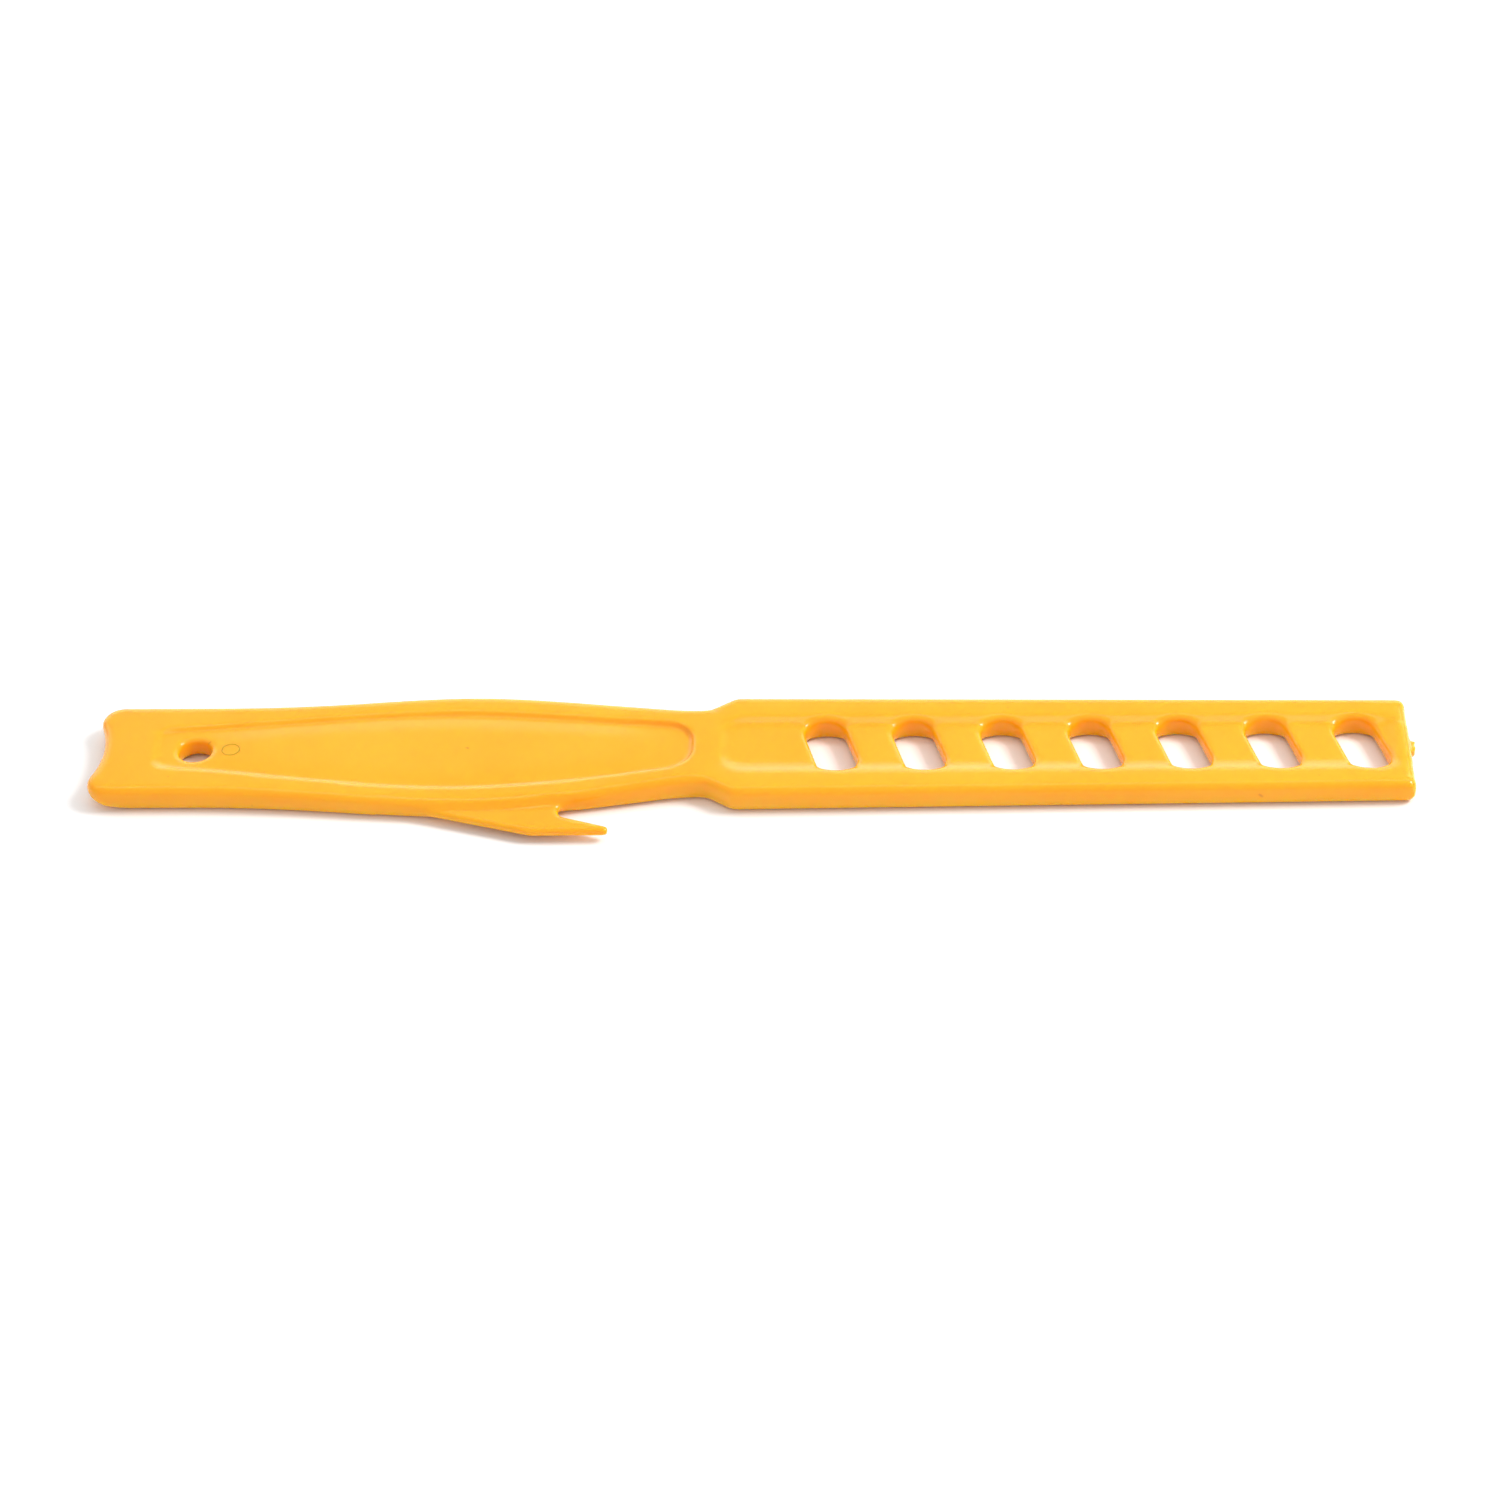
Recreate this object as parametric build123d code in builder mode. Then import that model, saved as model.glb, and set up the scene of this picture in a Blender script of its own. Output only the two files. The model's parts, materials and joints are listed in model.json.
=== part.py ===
from build123d import *
import math
import os

# A stirring and scraping paddle, moulded in one piece, in millimetres. It lies flat on
# z = 0 with its length along X: the hollow scraper end is at -X, the slotted blade at +X
# and the bucket hook at -Y. The top and the underside carry the same pocket and dish.
# Distances along the tool are counted from the tips of the scraper end's two ears, and
# distances across it from its midline. The midline stands off Y = 0 because of the hook.

# Whole tool
BODY_LENGTH = 300.0
GATE_STUB = 1.2
HALF_WIDTH = 19.95
HOOK_REACH = 27.55
MIDLINE_Y = (HOOK_REACH - HALF_WIDTH) / 2
TOOL_LEFT = -(BODY_LENGTH + GATE_STUB) / 2
BLADE_END = TOOL_LEFT + BODY_LENGTH
EDGE_ROUND = 2.0
BLANK_HEIGHT = 8.0
BEYOND = 30.0
MATCH = 0.01

# Height of the top face: it dips at the grip, rises to the neck, then falls to the tip
LIP_TOP = 6.2
NECK_TOP = 6.4
TIP_TOP = 5.85
HANDLE_TOPS = [(22.0, 6.15), (55.0, 5.5), (88.0, 5.25), (118.0, 5.6)]

# Scraper end
EAR_HALF_WIDTH = 15.8
EAR_LENGTH = 5.3
EAR_CORNER = 4.9
EAR_INNER = 10.2
EAR_INNER_CORNER = 3.0
END_HOLLOW = 2.0
LIP_LENGTH = 14.0
LIP_BOTTOM = 3.3

# Handle: distance along the tool and half width
HANDLE_STATIONS = [
    (34.0, 16.05), (57.0, 17.8), (84.0, HALF_WIDTH), (110.0, 17.85), (128.0, 14.6),
]
NECK_DISTANCE = 140.7
NECK_HALF_WIDTH = 13.2

# Blade and its shoulders
SHOULDER_RUN = 6.1
SHOULDER_INNER_ROUND = 4.0
SHOULDER_OUTER_ROUND = 2.4
BLADE_ROOT_HALF_WIDTH = 17.6
BLADE_TIP_HALF_WIDTH = 15.9
TIP_CORNER = 1.5

# Hanging hole
HOLE_DISTANCE = 23.3
HOLE_RADIUS = 3.75
HOLE_ROUND = 1.0

# Handle pocket: distance along the tool and half width, then its ends and floors
POCKET_STATIONS = [(35.0, 9.1), (59.0, 12.2), (84.0, 13.8), (110.0, 11.6)]
POCKET_LEFT = 14.5
POCKET_LEFT_HALF_WIDTH = 6.9
POCKET_LEFT_CORNER = 3.0
POCKET_RIGHT = 137.7
POCKET_RIGHT_HALF_WIDTH = 7.4
POCKET_RIGHT_CORNER = 7.0
POCKET_TOP_FLOORS = [(10.0, 5.6), (55.0, 4.75), (88.0, 4.3), (118.0, 4.5), (142.0, 5.3)]
POCKET_BOTTOM_FLOOR = 0.65
POCKET_FLOOR_ROUND = 1.0
POCKET_RIM_ROUND = 0.3

# Blade dish
DISH_DEPTH = 0.85
DISH_LEFT = 141.9
DISH_RIGHT = 299.0
DISH_LEFT_HALF_WIDTH = 11.85
DISH_RIGHT_HALF_WIDTH = 11.35
DISH_LEFT_CORNER = 7.5
DISH_RIGHT_CORNER = 5.5
DISH_FLOOR_ROUND = 5.0
DISH_RIM_ROUND = 4.0

# Slots through the blade: width along the tool, span across it, and how far one end leans
SLOT_COUNT = 7
SLOT_PITCH = 20.0
FIRST_SLOT = 169.1
SLOT_WIDTH = 9.6
SLOT_SPAN = 17.8
SLOT_LEAN = 4.9
SLOT_CORNER = 4.2
SLOT_ROUND = 1.1

# Bucket hook: a thin plate at mid thickness, with a notch that opens towards the blade.
# Its points are distance along the tool and across it. Its back lies inside the handle.
HOOK_BOTTOM = 1.5
HOOK_THICKNESS = 2.2
HOOK_EDGE_ROUND = 0.7
HOOK_BACK = -15.0
HOOK_START = (67.0, -18.0)
HOOK_SPREAD = (77.0, -19.9)
HOOK_SPREAD_ROUND = 25.0
HOOK_ELBOW = (102.0, -HOOK_REACH)
HOOK_ELBOW_ROUND = 6.0
HOOK_TIP_OUTER = (119.8, -27.5)
HOOK_TIP_INNER = (119.8, -25.9)
HOOK_TIP_ROUND = 0.8
NOTCH_CENTRE = (110.3, -20.35)
NOTCH_RADIUS = 2.2

# Gate stub: distance out from the blade's end and across it, snapped off unevenly
STUB_BOTTOM = 2.0
STUB_THICKNESS = 2.0
STUB_OUTLINE = [
    (-1.0, 1.9), (GATE_STUB, 1.7), (0.8, 0.6), (1.1, -0.5), (0.7, -1.6), (-1.0, -1.9),
]


def along(distance):
    """X of a point that is this far along the tool from the ears."""
    return TOOL_LEFT + distance


def placed(point):
    """The sketch point at this distance along the tool and this far across it or up."""
    return (along(point[0]), point[1])


def is_upright_edge(edge):
    return edge.geom_type == GeomType.LINE and abs(edge.tangent_at(0).Z) > 1 - MATCH


def is_wall(face):
    return abs(face.normal_at().Z) < MATCH


def wall_rims(faces):
    """The edges where upright walls meet the faces above and below them."""
    return faces.filter_by(is_wall).edges().filter_by(is_upright_edge, reverse=True)


def hollow_rim(builder, cutter):
    """The edges where the hollow just cut by this solid meets the face around it."""
    wires = [wire for face in builder.faces(Select.LAST) for wire in face.inner_wires()]
    edges = ShapeList([edge for wire in wires for edge in wire.edges()])
    box = cutter.bounding_box()
    return edges.filter_by_position(Axis.X, box.min.X, box.max.X)


def round_corners(sketch, x, half_width, radius):
    """Round the pair of sketch corners that lie at this X, this far each side of the middle."""
    def is_corner(vertex):
        return math.hypot(vertex.X - x, abs(vertex.Y) - half_width) < MATCH
    fillet(sketch.vertices().filter_by(is_corner), radius)


def pocket_blank():
    """A tall solid with the outline of the handle's pocket."""
    left = (along(POCKET_LEFT), POCKET_LEFT_HALF_WIDTH)
    right = (along(POCKET_RIGHT), POCKET_RIGHT_HALF_WIDTH)
    with BuildPart() as blank:
        with BuildSketch(base.offset(-BLANK_HEIGHT)) as outline:
            with BuildLine():
                Spline(left, *[placed(station) for station in POCKET_STATIONS], right)
                Line(right, (right[0], 0))
                Line((left[0], 0), left)
                mirror(about=Plane.XZ)
            make_face()
            round_corners(outline, *left, POCKET_LEFT_CORNER)
            round_corners(outline, *right, POCKET_RIGHT_CORNER)
        extrude(amount=2 * BLANK_HEIGHT)
    return blank.part


def top_pocket_cutter():
    """The solid that hollows the handle's top face, rounded at its foot."""
    with BuildPart() as cutter:
        add(pocket_blank())
        with BuildSketch(Plane.XZ.offset(BEYOND)):
            with BuildLine():
                floor = Spline([placed(station) for station in POCKET_TOP_FLOORS])
                start, end = floor @ 0, floor @ 1
                Polyline(end, (end.X, BLANK_HEIGHT), (start.X, BLANK_HEIGHT), start)
            make_face()
        extrude(amount=-2 * BEYOND, mode=Mode.INTERSECT)
        fillet(cutter.faces().sort_by(Axis.Z)[0].edges(), POCKET_FLOOR_ROUND)
    return cutter.part


def bottom_pocket_cutter():
    """The solid that hollows the handle's underside to a flat floor, rounded at its foot."""
    with BuildPart() as cutter:
        add(pocket_blank())
        split(bisect_by=base.offset(POCKET_BOTTOM_FLOOR), keep=Keep.BOTTOM)
        fillet(cutter.faces().sort_by(Axis.Z)[-1].edges(), POCKET_FLOOR_ROUND)
    return cutter.part


def dish_cutter(blade_face):
    """The solid that dishes a blade face, given as a plane at the neck with Z outwards."""
    left = DISH_LEFT - NECK_DISTANCE
    right = DISH_RIGHT - NECK_DISTANCE
    with BuildPart() as cutter:
        with BuildSketch(blade_face.offset(-DISH_DEPTH)) as floor:
            with BuildLine():
                Line((right, -DISH_RIGHT_HALF_WIDTH), (right, DISH_RIGHT_HALF_WIDTH))
                Line((right, DISH_RIGHT_HALF_WIDTH), (left, DISH_LEFT_HALF_WIDTH))
                Line((left, DISH_LEFT_HALF_WIDTH), (left, -DISH_LEFT_HALF_WIDTH))
                Line((left, -DISH_LEFT_HALF_WIDTH), (right, -DISH_RIGHT_HALF_WIDTH))
            make_face()
        extrude(amount=BLANK_HEIGHT)
        corners = cutter.edges().filter_by(Axis(blade_face.origin, blade_face.z_dir)).sort_by(Axis.X)
        fillet(corners[:2], DISH_LEFT_CORNER)
        corners = cutter.edges().filter_by(Axis(blade_face.origin, blade_face.z_dir)).sort_by(Axis.X)
        fillet(corners[-2:], DISH_RIGHT_CORNER)
        floor_face = cutter.faces().sort_by(Axis(blade_face.origin, blade_face.z_dir))[0]
        fillet(floor_face.edges(), DISH_FLOOR_ROUND)
    return cutter.part


def slot_corners():
    """The corners of a slot's outline, whose near end leans towards the blade's tip."""
    lean, width, end = SLOT_LEAN / 2, SLOT_WIDTH / 2, SLOT_SPAN / 2
    near = [(lean - width, -end), (lean + width, -end)]
    far = [(width - lean, end), (-lean - width, end)]
    return near + far


def prong_foot():
    """Where the prong's straight inner side meets the round root of the notch."""
    tip = Vector(*placed(HOOK_TIP_INNER))
    to_centre = Vector(*placed(NOTCH_CENTRE)) - tip
    turn = math.degrees(math.asin(NOTCH_RADIUS / to_centre.length))
    run = math.sqrt(to_centre.length**2 - NOTCH_RADIUS**2)
    return tip + to_centre.normalized().rotate(Axis.Z, turn) * run


# The plane the tool lies on, the blade's two faces as planes at the neck, and the solids
# that are cut from the faces. Their sketches have the tool's midline as their X axis.
base = Plane(origin=(0, MIDLINE_Y, 0))
neck_x = along(NECK_DISTANCE)
blade_fall = (NECK_TOP - TIP_TOP) / (BLADE_END - neck_x)
blade_top = Plane(
    origin=(neck_x, MIDLINE_Y, NECK_TOP), x_dir=(1, 0, -blade_fall), z_dir=(blade_fall, 0, 1),
)
blade_bottom = Plane(origin=(neck_x, MIDLINE_Y, 0), x_dir=(1, 0, 0), z_dir=(0, 0, -1))
top_pocket = top_pocket_cutter()
bottom_pocket = bottom_pocket_cutter()
top_dish = dish_cutter(blade_top)
bottom_dish = dish_cutter(blade_bottom)

with BuildPart() as hook:
    with BuildSketch(base.offset(HOOK_BOTTOM)) as plate:
        with BuildLine():
            start = placed(HOOK_START)
            tip = placed(HOOK_TIP_INNER)
            centre = Vector(*placed(NOTCH_CENTRE))
            notch_side = centre + Vector(0, NOTCH_RADIUS)
            Polyline(start, placed(HOOK_SPREAD), placed(HOOK_ELBOW), placed(HOOK_TIP_OUTER), tip)
            prong = Line(tip, prong_foot())
            ThreePointArc(prong @ 1, centre - Vector(NOTCH_RADIUS, 0), notch_side)
            Polyline(notch_side, (notch_side.X, HOOK_BACK), (start[0], HOOK_BACK), start)
        make_face()
        fillet(plate.vertices().sort_by_distance(placed(HOOK_SPREAD))[0], HOOK_SPREAD_ROUND)
        fillet(plate.vertices().sort_by_distance(placed(HOOK_ELBOW))[0], HOOK_ELBOW_ROUND)
        fillet(plate.vertices().group_by(Axis.X)[-1], HOOK_TIP_ROUND)
    extrude(amount=HOOK_THICKNESS)
    outside = hook.edges().filter_by(lambda edge: edge.center().Y < MIDLINE_Y + HOOK_START[1])
    fillet(outside.filter_by(is_upright_edge, reverse=True), HOOK_EDGE_ROUND)

with BuildPart() as paddle:
    # Blank: the plan outline, cut to the side profile, with all its edges rounded
    with BuildSketch(base) as plan:
        with BuildLine():
            ear = (along(EAR_LENGTH), EAR_HALF_WIDTH)
            shoulder = (along(NECK_DISTANCE + SHOULDER_RUN), BLADE_ROOT_HALF_WIDTH)
            Polyline((TOOL_LEFT, EAR_INNER), (TOOL_LEFT, EAR_HALF_WIDTH), ear)
            side = Spline(
                ear, *[placed(station) for station in HANDLE_STATIONS], (neck_x, NECK_HALF_WIDTH),
                tangents=[(1, 0), (1, 0)],
            )
            Polyline(side @ 1, shoulder, (BLADE_END, BLADE_TIP_HALF_WIDTH), (BLADE_END, 0))
            mirror(about=Plane.XZ)
            hollow_radius = (EAR_INNER**2 + END_HOLLOW**2) / (2 * END_HOLLOW)
            RadiusArc((TOOL_LEFT, EAR_INNER), (TOOL_LEFT, -EAR_INNER), hollow_radius)
        make_face()
        round_corners(plan, TOOL_LEFT, EAR_HALF_WIDTH, EAR_CORNER)
        round_corners(plan, TOOL_LEFT, EAR_INNER, EAR_INNER_CORNER)
        round_corners(plan, neck_x, NECK_HALF_WIDTH, SHOULDER_INNER_ROUND)
        round_corners(plan, *shoulder, SHOULDER_OUTER_ROUND)
        round_corners(plan, BLADE_END, BLADE_TIP_HALF_WIDTH, TIP_CORNER)
    extrude(amount=BLANK_HEIGHT)
    with BuildSketch(Plane.XZ.offset(BEYOND)):
        with BuildLine():
            lip = (TOOL_LEFT, LIP_TOP)
            Spline(
                lip, *[placed(station) for station in HANDLE_TOPS], (neck_x, NECK_TOP),
                tangents=[(1, 0), (1, -blade_fall)],
            )
            Polyline((neck_x, NECK_TOP), (BLADE_END, TIP_TOP), (BLADE_END, 0), (TOOL_LEFT, 0), lip)
        make_face()
    extrude(amount=-2 * BEYOND, mode=Mode.INTERSECT)
    fillet(wall_rims(paddle.faces()), EDGE_ROUND)

    # Scraper lip: the underside curves up to a thin edge
    with BuildSketch(Plane.XZ.offset(BEYOND)):
        with BuildLine():
            lip_start = (along(LIP_LENGTH), 0)
            under_lip = TangentArc(lip_start, (TOOL_LEFT, LIP_BOTTOM), tangent=(-1, 0))
            Polyline(
                under_lip @ 1, (TOOL_LEFT - BEYOND, LIP_BOTTOM), (TOOL_LEFT - BEYOND, -BEYOND),
                (lip_start[0], -BEYOND), lip_start,
            )
        make_face()
    extrude(amount=-2 * BEYOND, mode=Mode.SUBTRACT)

    # Bucket hook, standing out of the handle's side
    add(hook.part)

    # Pockets in both faces of the handle and dishes in both faces of the blade
    for pocket in (top_pocket, bottom_pocket):
        add(pocket, mode=Mode.SUBTRACT)
        fillet(hollow_rim(paddle, pocket), POCKET_RIM_ROUND)
    for dish in (top_dish, bottom_dish):
        add(dish, mode=Mode.SUBTRACT)
        fillet(hollow_rim(paddle, dish), DISH_RIM_ROUND)

    # Slots through the blade and the hanging hole through the handle, with soft rims
    with BuildSketch(base.offset(-BEYOND)) as slots:
        with Locations([(along(FIRST_SLOT + slot * SLOT_PITCH), 0) for slot in range(SLOT_COUNT)]):
            Polygon(*slot_corners(), align=None)
        fillet(slots.vertices(), SLOT_CORNER)
    extrude(amount=2 * BEYOND, mode=Mode.SUBTRACT)
    fillet(wall_rims(paddle.faces(Select.LAST)), SLOT_ROUND)
    with Locations((along(HOLE_DISTANCE), MIDLINE_Y)):
        Hole(HOLE_RADIUS)
    fillet(wall_rims(paddle.faces(Select.LAST)), HOLE_ROUND)

    # Gate stub, snapped off the blade's end
    with BuildSketch(base.offset(STUB_BOTTOM)):
        with BuildLine():
            Polyline([(BLADE_END + out, across) for out, across in STUB_OUTLINE], close=True)
        make_face()
    extrude(amount=STUB_THICKNESS)

os.makedirs("parts", exist_ok=True)
paddle.part.label = "paddle"
export_step(paddle.part, "parts/paddle.step")
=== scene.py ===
import json
import math

import bmesh
import bpy
from mathutils import Matrix, Vector
from mathutils.bvhtree import BVHTree


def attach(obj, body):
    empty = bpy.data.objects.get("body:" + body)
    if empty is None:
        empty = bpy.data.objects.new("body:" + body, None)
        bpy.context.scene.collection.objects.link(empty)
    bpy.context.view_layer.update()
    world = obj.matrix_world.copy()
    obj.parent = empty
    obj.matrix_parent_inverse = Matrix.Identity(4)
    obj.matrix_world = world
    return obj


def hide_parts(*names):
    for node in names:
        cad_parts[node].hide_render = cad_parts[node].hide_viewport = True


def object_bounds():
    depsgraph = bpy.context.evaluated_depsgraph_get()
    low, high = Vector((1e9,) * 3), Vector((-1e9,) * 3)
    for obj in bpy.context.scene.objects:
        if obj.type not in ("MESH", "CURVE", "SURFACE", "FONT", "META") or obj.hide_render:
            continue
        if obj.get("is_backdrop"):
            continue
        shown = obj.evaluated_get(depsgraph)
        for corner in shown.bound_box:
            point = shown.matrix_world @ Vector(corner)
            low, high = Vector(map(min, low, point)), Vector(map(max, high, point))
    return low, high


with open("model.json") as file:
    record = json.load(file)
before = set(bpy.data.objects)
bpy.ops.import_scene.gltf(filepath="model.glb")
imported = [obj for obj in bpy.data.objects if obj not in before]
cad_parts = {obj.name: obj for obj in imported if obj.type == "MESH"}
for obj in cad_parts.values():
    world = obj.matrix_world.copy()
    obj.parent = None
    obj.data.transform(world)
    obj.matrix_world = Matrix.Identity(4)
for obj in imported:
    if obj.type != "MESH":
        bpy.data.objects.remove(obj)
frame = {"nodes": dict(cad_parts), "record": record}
cad_low, cad_high = (Vector(corner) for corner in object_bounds())
MM = 0.001
DOWN = Vector((0, 0, -1))
SCENE = bpy.context.scene

# The tool's midline and its scraper end, from the record and the CAD box
MIDLINE_Y = frame["record"]["mounts"][0]["pos_m"][1]
EARS_X = cad_low.x

# Camera: seen from in front, a little from the right, and tipped slightly clockwise
VIEW_AZIMUTH = math.radians(3.646)
VIEW_ELEVATION = math.radians(38.5)
VIEW_ROLL = math.radians(-2.682)
VIEW_DISTANCE = 904.6 * MM
VIEW_TARGET = Vector((-0.32 * MM, MIDLINE_Y + 5.234 * MM, 0.0))
LENS = 94.63
NEAREST_SEEN = 10 * MM

# Panels of light: name, place, width, height and power, in metres and watts
LIGHTS = [
    ("key", (1.05, 0.15, 1.1), 0.5, 0.5, 15.5),
    ("backdrop", (-0.2, 1.3, 0.42), 2.6, 0.8, 7.0),
    ("overhead", (0.0, 0.45, 1.2), 1.8, 0.3, 3.0),
]
SKY = {"Color": (0.98, 0.99, 1.0, 1), "Strength": 0.74}
FLOOR_REACH = 4.0
FLOOR = {"Base Color": (0.93, 0.93, 0.93, 1), "Roughness": 0.9}

# Plastic: its body, its cloudy tint with rare dark specks, and its worn surface
PLASTIC = {
    "IOR": 1.49,
    "Specular IOR Level": 0.38,
    "Subsurface Weight": 1.0,
    "Subsurface Radius": (1.0, 0.4, 0.05),
    "Subsurface Scale": 4 * MM,
}
CLOUDS = {"Scale": 28.0, "Detail": 3.0}
TINTS = [(0.35, (0.99, 0.4, 0.006, 1)), (0.68, (0.995, 0.435, 0.01, 1))]
SPECKS = {"Scale": 520.0, "Detail": 0.0}
SPECK_RANGE = {"From Min": 0.86, "From Max": 0.97}
SPECK_COLOUR = {"B": (0.6, 0.2, 0.01, 1)}
RUB_DIRECTION = {"Scale": (120.0, 2600.0, 2600.0), "Rotation": (0.0, 0.0, 0.12)}
RUBS = {"Scale": 1.0, "Detail": 2.0}
RUB_ROUGHNESS = {"From Min": 0.3, "From Max": 0.8, "To Min": 0.12, "To Max": 0.23}
GRAIN = {"Scale": 900.0, "Detail": 2.0}
GRAIN_BUMP = {"Strength": 0.12, "Distance": 0.04 * MM}

# Mark left by the mould's ejector pin, beside the hanging hole
EJECTOR_PLACE = Vector((EARS_X + 31.6 * MM, MIDLINE_Y, 0.0))
EJECTOR_RADIUS = 2.0 * MM
EJECTOR_THICKNESS = 0.09 * MM
RING_STEPS = 48
RING_SIDES = 8

# Skin of the moulding: the CAD shape rebuilt as an even mesh, then softened. The softening
# stops short of the tip's end, because it would wear the gate stub away.
WELD_DISTANCE = 0.001 * MM
SKIN_CELL = 0.42 * MM
SKIN_SOFTENING = 9
SKIN_TRIANGLES = 190000
SOFTENING_STEP = 0.5
STUB_KEPT = 1.0 * MM

# Places that get more work, in mm: along the tool from the ears, across it from its midline
# and up from its underside. The pocket's stations are distances along and half widths.
TOP_HALF = 2.5
HOOK_ROOT = (66.0, 112.0)
HOOK_ROOT_ACROSS = (-20.2, -16.6)
HOOK_ROOT_SOFTENING = 24
DISH_START = 141.0
DISH_EDGE = (6.5, 13.0)
DISH_SOFTENING = 18
POCKET_CROWN = 0.22
POCKET_ENDS = (20.0, 134.0)
POCKET_STATIONS = [
    (14.5, 6.9), (35.0, 9.1), (59.0, 12.2), (84.0, 13.8), (110.0, 11.6), (137.7, 7.4),
]
POCKET_WALL = 1.0
CROWN_RUN = 6.0
CROWN_END_RUN = 15.0


def link(name, data):
    """A new object with this data, in the scene."""
    made = bpy.data.objects.new(name, data)
    SCENE.collection.objects.link(made)
    return made


def set_inputs(node, values):
    """The node, after these inputs are given their values."""
    for name, value in values.items():
        node.inputs[name].default_value = value
    return node


def add_camera():
    """The camera aims at a point just behind the middle of the tool's underside."""
    camera = link("camera", bpy.data.cameras.new("camera"))
    camera.data.lens = LENS
    camera.data.clip_start = NEAREST_SEEN
    camera.matrix_world = (
        Matrix.Translation(VIEW_TARGET)
        @ Matrix.Rotation(VIEW_AZIMUTH, 4, "Z")
        @ Matrix.Rotation(math.pi / 2 - VIEW_ELEVATION, 4, "X")
        @ Matrix.Rotation(VIEW_ROLL, 4, "Z")
        @ Matrix.Translation((0, 0, VIEW_DISTANCE))
    )
    SCENE.camera = camera


def add_area_light(name, place, width, height, power):
    """A soft panel of light that shines at the middle of the tool."""
    light = link(name, bpy.data.lights.new(name, "AREA"))
    light.data.shape = "RECTANGLE"
    light.data.size = width
    light.data.size_y = height
    light.data.energy = power
    light.location = place
    light.rotation_euler = (-Vector(place)).to_track_quat("-Z", "Y").to_euler()


def add_world():
    """An even sky, nearly white."""
    world = bpy.data.worlds.new("studio")
    world.use_nodes = True
    set_inputs(world.node_tree.nodes["Background"], SKY)
    SCENE.world = world


def add_floor():
    """A matt white floor under the tool."""
    mesh = bpy.data.meshes.new("floor")
    build = bmesh.new()
    bmesh.ops.create_grid(build, x_segments=1, y_segments=1, size=FLOOR_REACH)
    build.to_mesh(mesh)
    build.free()
    floor = link("floor", mesh)
    floor.location.z = cad_low.z
    material = bpy.data.materials.new("floor_white")
    material.use_nodes = True
    set_inputs(material.node_tree.nodes["Principled BSDF"], FLOOR)
    mesh.materials.append(material)
    floor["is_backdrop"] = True


def tool_place(point):
    """The point's distance along the tool, its distance across it and its height, in mm."""
    return (point.x - EARS_X) / MM, (point.y - MIDLINE_Y) / MM, point.z / MM


def in_hook_root(point):
    """Whether the point is where the hook leaves the handle."""
    along, across, _ = tool_place(point)
    return (
        HOOK_ROOT[0] < along < HOOK_ROOT[1]
        and HOOK_ROOT_ACROSS[0] < across < HOOK_ROOT_ACROSS[1]
    )


def on_dish_edge(point):
    """Whether the point is on one of the long edges of the dish in the blade's top."""
    along, across, height = tool_place(point)
    return along > DISH_START and height > TOP_HALF and DISH_EDGE[0] < abs(across) < DISH_EDGE[1]


def pocket_half_width(distance):
    """Half the pocket's width in mm at this distance along the tool."""
    for (start, narrow), (end, wide) in zip(POCKET_STATIONS, POCKET_STATIONS[1:]):
        if start <= distance <= end:
            return narrow + (wide - narrow) * (distance - start) / (end - start)
    return 0.0


def crown_rise(point):
    """How far the crown lifts this point, if it is on the floor of the pocket in the top."""
    along, across, height = tool_place(point)
    from_wall = pocket_half_width(along) - abs(across) - POCKET_WALL
    from_end = min(along - POCKET_ENDS[0], POCKET_ENDS[1] - along)
    if from_wall <= 0 or from_end <= 0 or height <= TOP_HALF:
        return 0.0
    sideways = math.sin(min(from_wall / CROWN_RUN, 1.0) * math.pi / 2)
    lengthways = min(from_end / CROWN_END_RUN, 1.0)
    return POCKET_CROWN * MM * sideways * lengthways


def soften(build, vertices, rounds):
    """Move these vertices towards their neighbours, this many times."""
    for _ in range(rounds):
        bmesh.ops.smooth_vert(
            build, verts=vertices, factor=SOFTENING_STEP,
            use_axis_x=True, use_axis_y=True, use_axis_z=True,
        )


def modified(mesh, name, kind, **settings):
    """The mesh after one modifier."""
    holder = link(name, mesh)
    change = holder.modifiers.new(name, kind)
    for key, value in settings.items():
        setattr(change, key, value)
    depsgraph = bpy.context.evaluated_depsgraph_get()
    result = bpy.data.meshes.new_from_object(holder.evaluated_get(depsgraph))
    bpy.data.objects.remove(holder)
    return result


def even_mesh(node):
    """The CAD shape as an even mesh, with its vertices drawn back on to the CAD surface."""
    source = node.data.copy()
    source.transform(node.matrix_world)
    cad = bmesh.new()
    cad.from_mesh(source)
    bmesh.ops.remove_doubles(cad, verts=cad.verts, dist=WELD_DISTANCE)
    cad.to_mesh(source)
    surface = BVHTree.FromBMesh(cad)
    cad.free()
    even = modified(source, "skin_cells", "REMESH", mode="VOXEL", voxel_size=SKIN_CELL)
    for vertex in even.vertices:
        place, _, _, _ = surface.find_nearest(vertex.co, SKIN_CELL)
        if place is not None:
            vertex.co = place
    return even


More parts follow.
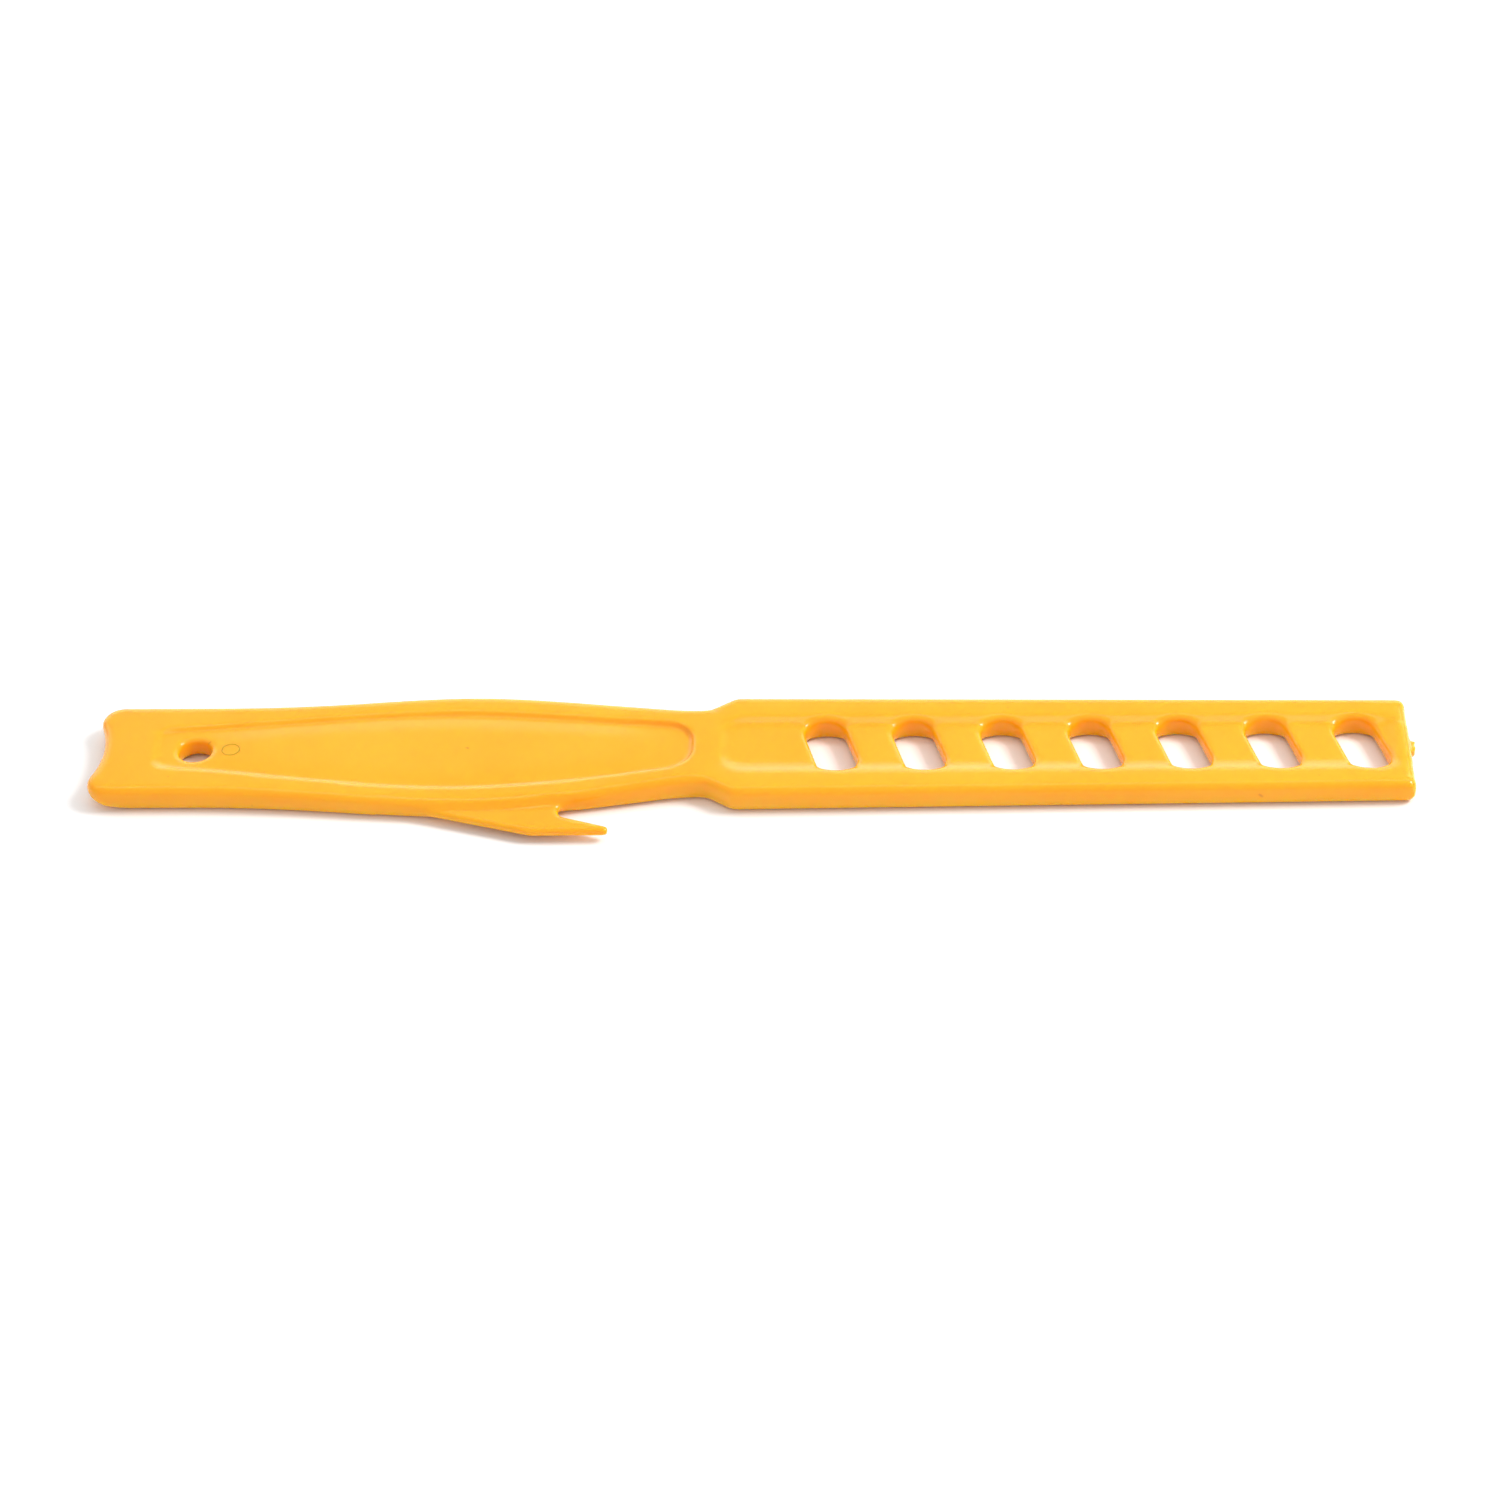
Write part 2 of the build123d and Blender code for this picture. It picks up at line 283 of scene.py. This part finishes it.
def skin_mesh(node):
    """An even, softened mesh over the CAD shape, with the pocket's floor slightly crowned."""
    skin = even_mesh(node)
    build = bmesh.new()
    build.from_mesh(skin)
    body_end = cad_high.x - STUB_KEPT
    soften(build, [vertex for vertex in build.verts if vertex.co.x < body_end], SKIN_SOFTENING)
    hook_root = [vertex for vertex in build.verts if in_hook_root(vertex.co)]
    dish_edge = [vertex for vertex in build.verts if on_dish_edge(vertex.co)]
    for vertex in build.verts:
        vertex.co.z += crown_rise(vertex.co)
    soften(build, hook_root, HOOK_ROOT_SOFTENING)
    soften(build, dish_edge, DISH_SOFTENING)
    build.to_mesh(skin)
    build.free()
    share = SKIN_TRIANGLES / (2 * len(skin.polygons))
    if share < 1:
        skin = modified(skin, "skin_thinned", "DECIMATE", ratio=share)
    for polygon in skin.polygons:
        polygon.use_smooth = True
    return skin


def ring_mesh(radius, thickness):
    """A thin ring that lies flat, centred on the origin."""
    build = bmesh.new()
    loops = []
    for step in range(RING_STEPS):
        turn = 2 * math.pi * step / RING_STEPS
        outward = Vector((math.cos(turn), math.sin(turn), 0))
        loop = []
        for side in range(RING_SIDES):
            roll = 2 * math.pi * side / RING_SIDES
            offset = outward * math.cos(roll) + Vector((0, 0, math.sin(roll)))
            loop.append(build.verts.new(outward * radius + offset * thickness))
        loops.append(loop)
    for step, loop in enumerate(loops):
        following = loops[(step + 1) % RING_STEPS]
        for side in range(RING_SIDES):
            other = (side + 1) % RING_SIDES
            corners = (loop[side], following[side], following[other], loop[other])
            build.faces.new(corners).smooth = True
    bmesh.ops.recalc_face_normals(build, faces=build.faces)
    mesh = bpy.data.meshes.new("ring")
    build.to_mesh(mesh)
    build.free()
    return mesh


def top_of(mesh, place):
    """The height of the mesh's top face above this point."""
    surface = BVHTree.FromPolygons(
        [vertex.co for vertex in mesh.vertices], [tuple(face.vertices) for face in mesh.polygons],
    )
    hit, _, _, _ = surface.ray_cast(Vector((place.x, place.y, cad_high.z + MM)), DOWN)
    return hit.z


def add_noise(tree, coordinates, values):
    """The value of a noise texture over these coordinates."""
    noise = set_inputs(tree.nodes.new("ShaderNodeTexNoise"), values)
    tree.links.new(coordinates, noise.inputs["Vector"])
    return noise.outputs["Fac"]


def plastic_colour(tree, coordinates):
    """Two close tints in clouds, with rare dark specks."""
    tint = tree.nodes.new("ShaderNodeValToRGB")
    for element, (position, colour) in zip(tint.color_ramp.elements, TINTS):
        element.position = position
        element.color = colour
    tree.links.new(add_noise(tree, coordinates, CLOUDS), tint.inputs["Fac"])
    rare = set_inputs(tree.nodes.new("ShaderNodeMapRange"), SPECK_RANGE)
    tree.links.new(add_noise(tree, coordinates, SPECKS), rare.inputs["Value"])
    dirt = tree.nodes.new("ShaderNodeMix")
    dirt.data_type = "RGBA"
    set_inputs(dirt, SPECK_COLOUR)
    tree.links.new(rare.outputs["Result"], dirt.inputs["Factor"])
    tree.links.new(tint.outputs["Color"], dirt.inputs["A"])
    return dirt.outputs["Result"]


def rubbed_roughness(tree, coordinates):
    """Fine rubbing marks along the tool, which vary the gloss."""
    stretch = set_inputs(tree.nodes.new("ShaderNodeMapping"), RUB_DIRECTION)
    tree.links.new(coordinates, stretch.inputs["Vector"])
    roughness = set_inputs(tree.nodes.new("ShaderNodeMapRange"), RUB_ROUGHNESS)
    tree.links.new(add_noise(tree, stretch.outputs["Vector"], RUBS), roughness.inputs["Value"])
    return roughness.outputs["Result"]


def grain_normal(tree, coordinates):
    """A fine grain that lifts the surface slightly."""
    bump = set_inputs(tree.nodes.new("ShaderNodeBump"), GRAIN_BUMP)
    tree.links.new(add_noise(tree, coordinates, GRAIN), bump.inputs["Height"])
    return bump.outputs["Normal"]


def plastic():
    """Glossy yellow-orange plastic that lets some light through."""
    material = bpy.data.materials.new("yellow_plastic")
    material.use_nodes = True
    tree = material.node_tree
    shader = set_inputs(tree.nodes["Principled BSDF"], PLASTIC)
    coordinates = tree.nodes.new("ShaderNodeTexCoord").outputs["Object"]
    tree.links.new(plastic_colour(tree, coordinates), shader.inputs["Base Color"])
    tree.links.new(rubbed_roughness(tree, coordinates), shader.inputs["Roughness"])
    tree.links.new(grain_normal(tree, coordinates), shader.inputs["Normal"])
    return material


SCENE.view_settings.view_transform = "Standard"
add_camera()
add_world()
add_floor()
for light in LIGHTS:
    add_area_light(*light)

skin = skin_mesh(frame["nodes"]["paddle"])
body = link("paddle_body", skin)
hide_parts("paddle")
mark = link("ejector_mark", ring_mesh(EJECTOR_RADIUS, EJECTOR_THICKNESS))
mark.location = EJECTOR_PLACE
mark.location.z = top_of(skin, EJECTOR_PLACE)
yellow = plastic()
for piece in (body, mark):
    piece.data.materials.clear()
    piece.data.materials.append(yellow)
    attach(piece, "root")
